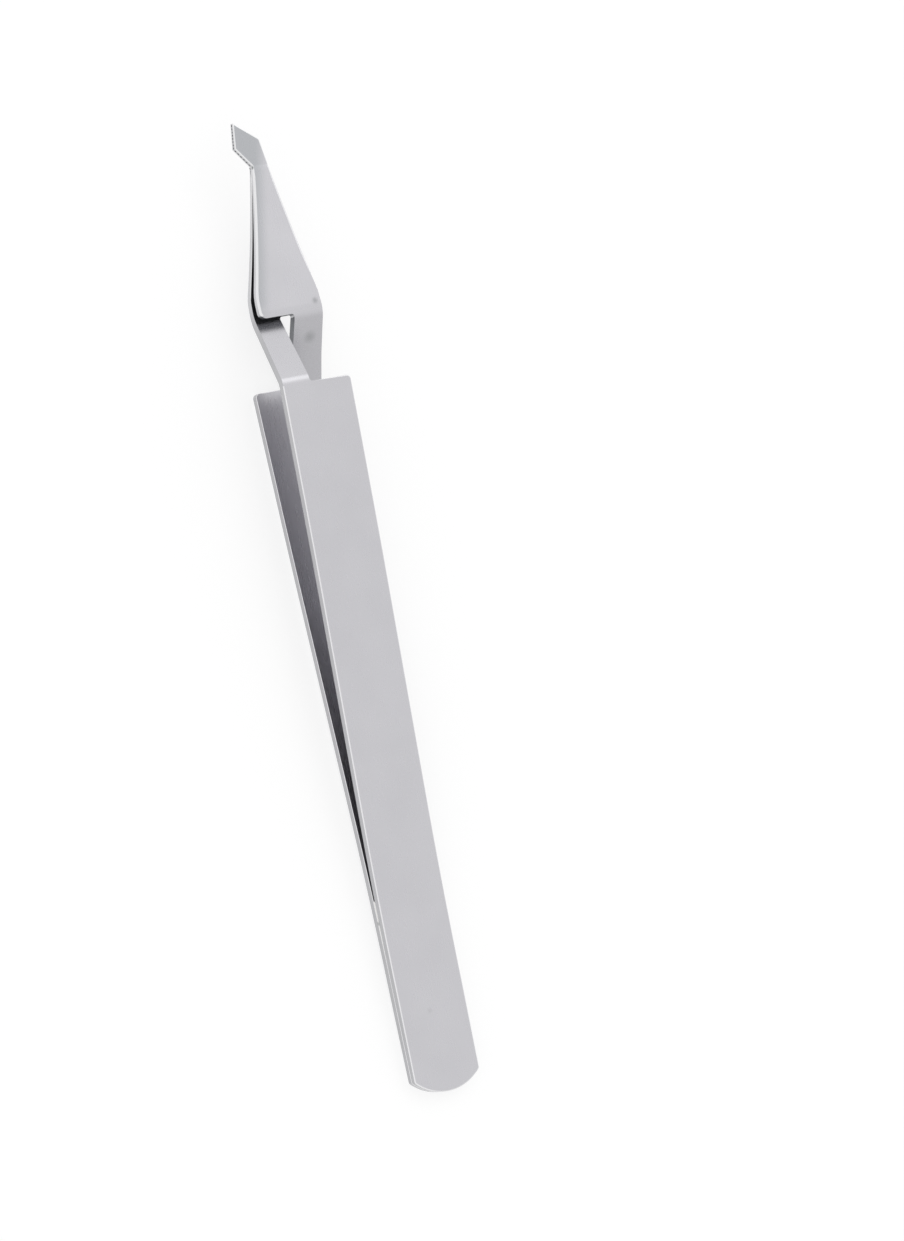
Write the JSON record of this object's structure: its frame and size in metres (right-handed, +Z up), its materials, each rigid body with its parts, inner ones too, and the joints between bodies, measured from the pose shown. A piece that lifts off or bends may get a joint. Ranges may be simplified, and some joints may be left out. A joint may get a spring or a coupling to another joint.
{
  "type": "bonding tweezers",
  "caption": "Reverse-action tweezers with flat handles, crossing necks and hooked, serrated jaws that open when squeezed.",
  "frame": {"origin": "on the surface that the tweezers lie on, below the middle of their length and width", "axes": "+X from the tail to the jaws, +Z up, away from the surface; the hooks of the jaws point to +Y"},
  "size_m": [0.14, 0.0108, 0.0102],
  "materials": {
    "lower_strip": "satin stainless steel with polished edges",
    "upper_strip": "satin stainless steel with polished edges",
    "braze": "silver braze, ground flush"
  },
  "bodies": {
    "lower_half": {"lower_arm": "lower_strip", "tail_wedge": "braze"},
    "upper_half": {"upper_arm": "upper_strip"}
  },
  "joints": [
    {"name": "squeeze", "type": "hinge", "parent": "lower_half", "child": "upper_half", "pos_m": [-0.04147, 0, 0.00235], "axis": [0, 1, 0], "range_deg": [0, 5], "stiffness_Nm_per_rad": 2, "springref_deg": -3.44}
  ]
}
